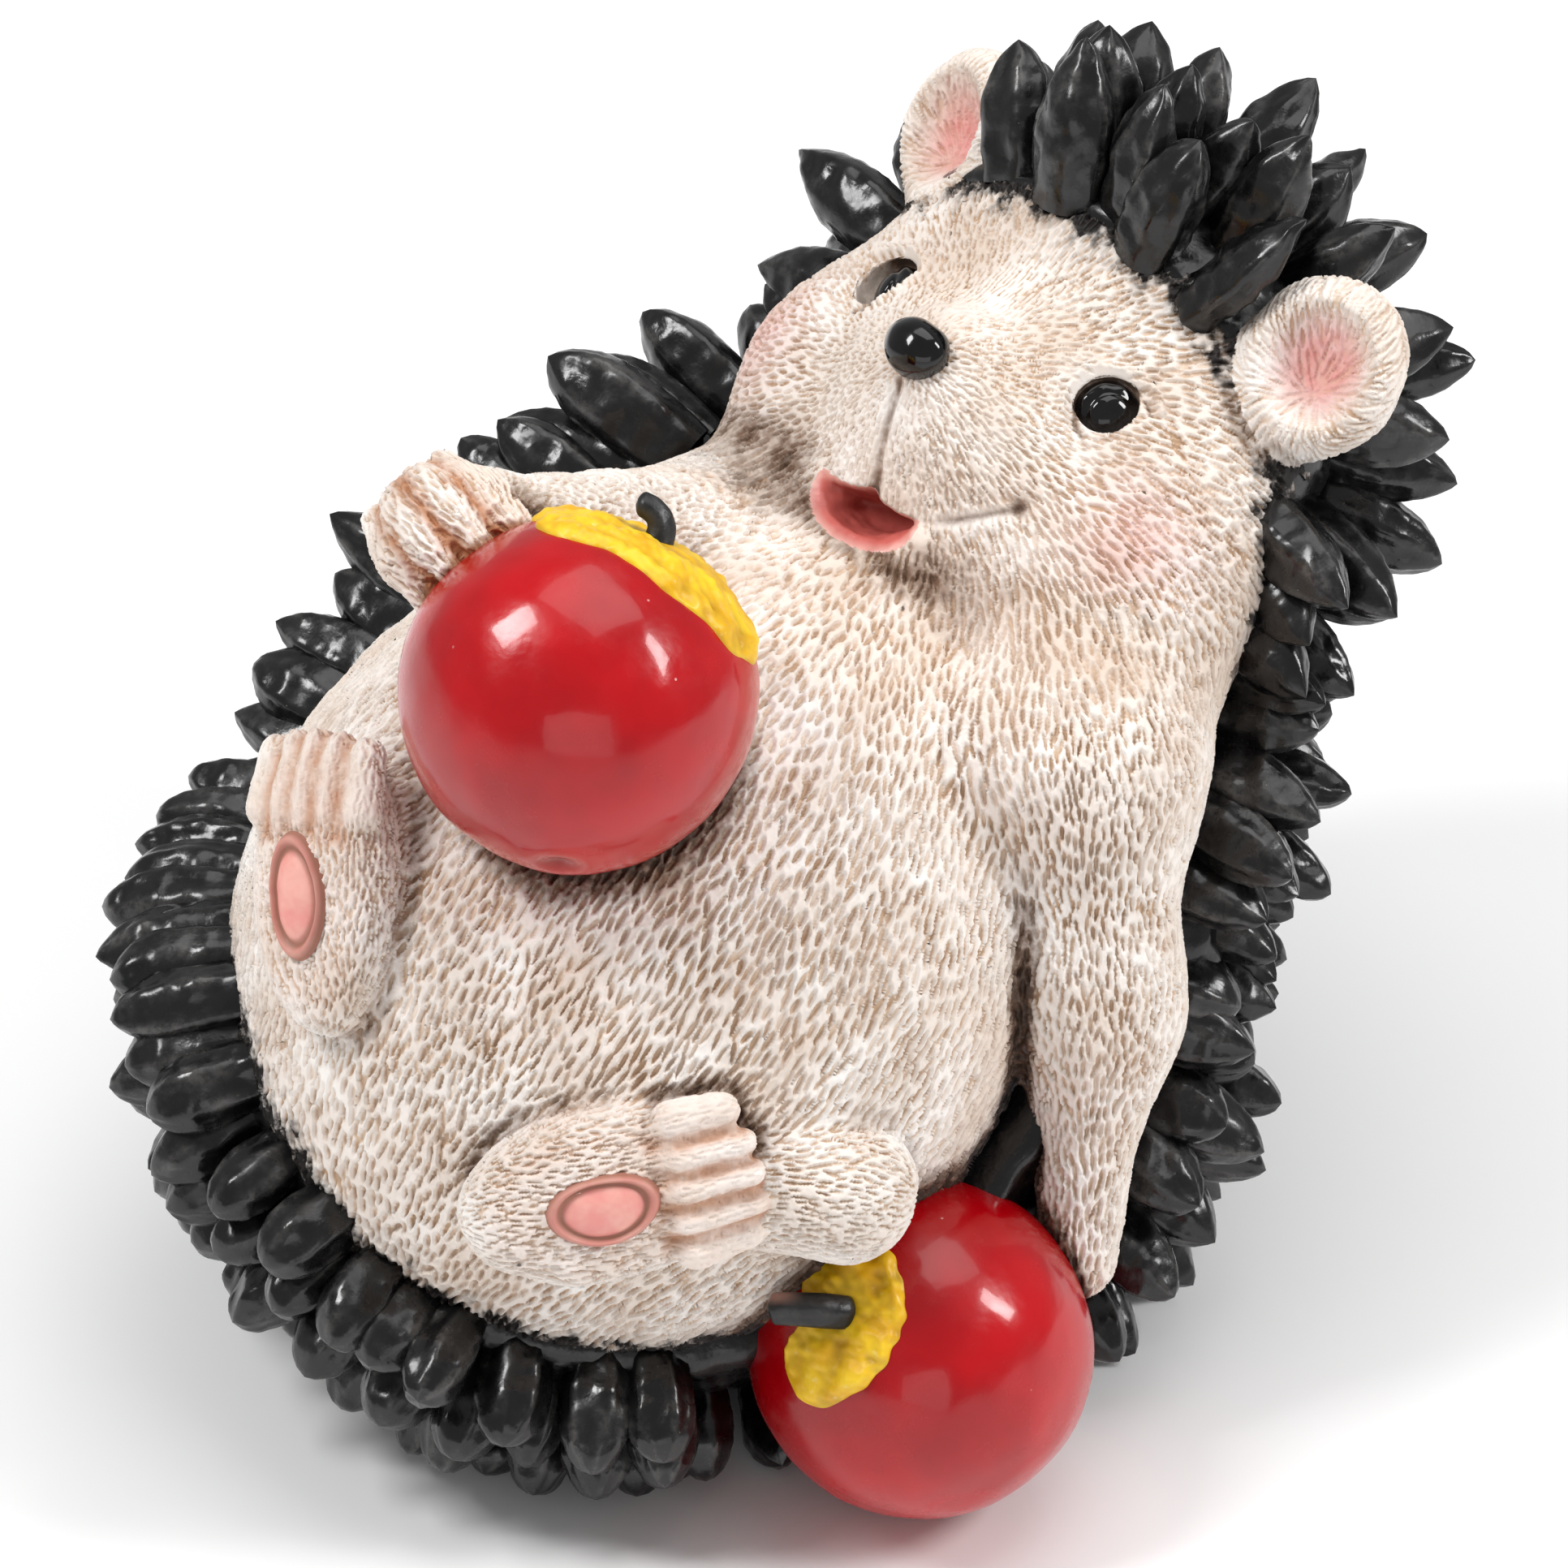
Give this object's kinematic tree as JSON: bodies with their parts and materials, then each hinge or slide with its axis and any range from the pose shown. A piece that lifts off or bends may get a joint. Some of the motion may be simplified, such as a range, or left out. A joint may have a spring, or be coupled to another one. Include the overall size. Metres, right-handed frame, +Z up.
{
  "type": "hedgehog figurine",
  "caption": "Reclining hedgehog ornament with a tooled cream coat of fur, leaf-shaped black quills, a glossy red apple held against its chest and another beside it.",
  "frame": {"origin": "on the floor plane, under the middle of the belly, inside the flat underside of the quill coat", "axes": "+Z up, the face looks towards -Y and upwards, the figurine's left side is +X"},
  "size_m": [0.0989, 0.1188, 0.0959],
  "materials": {
    "fur_cream": "matt paint on cast resin, tooled fur texture, tan wash in the recesses",
    "ear_cream": "matt cream paint with a pink wash in the hollow",
    "quill_black": "gloss black paint, dry-brushed silver grey on the ridges",
    "coat_black": "black paint between the quills",
    "apple_red": "clear-coated deep red paint",
    "leaf_yellow": "satin ochre-yellow paint",
    "stem_grey": "satin dark grey paint",
    "bead_black": "gloss black enamel",
    "mouth_red": "satin pink-red paint",
    "pad_pink": "matt pink-beige paint with a brown rim"
  },
  "bodies": {
    "figurine": {"apple_held": "apple_red", "apple_resting": "apple_red", "arm_left": "fur_cream", "arm_right": "fur_cream", "coat_shell": "coat_black", "ear_left": "ear_cream", "ear_right": "ear_cream", "eye_left": "bead_black", "eye_right": "bead_black", "foot_left": "fur_cream", "foot_right": "fur_cream", "head": "fur_cream", "leaf_held": "leaf_yellow", "leaf_resting": "leaf_yellow", "leg_left": "fur_cream", "leg_right": "fur_cream", "mouth": "mouth_red", "nose": "bead_black", "paw_right": "fur_cream", "quills_crown": "quill_black", "quills_left_flank": "quill_black", "quills_lower_back": "quill_black", "quills_right_flank": "quill_black", "quills_rump": "quill_black", "quills_upper_back": "quill_black", "sole_pad_left": "pad_pink", "sole_pad_right": "pad_pink", "stem_held": "stem_grey", "stem_resting": "stem_grey", "torso": "fur_cream"}
  },
  "joints": []
}
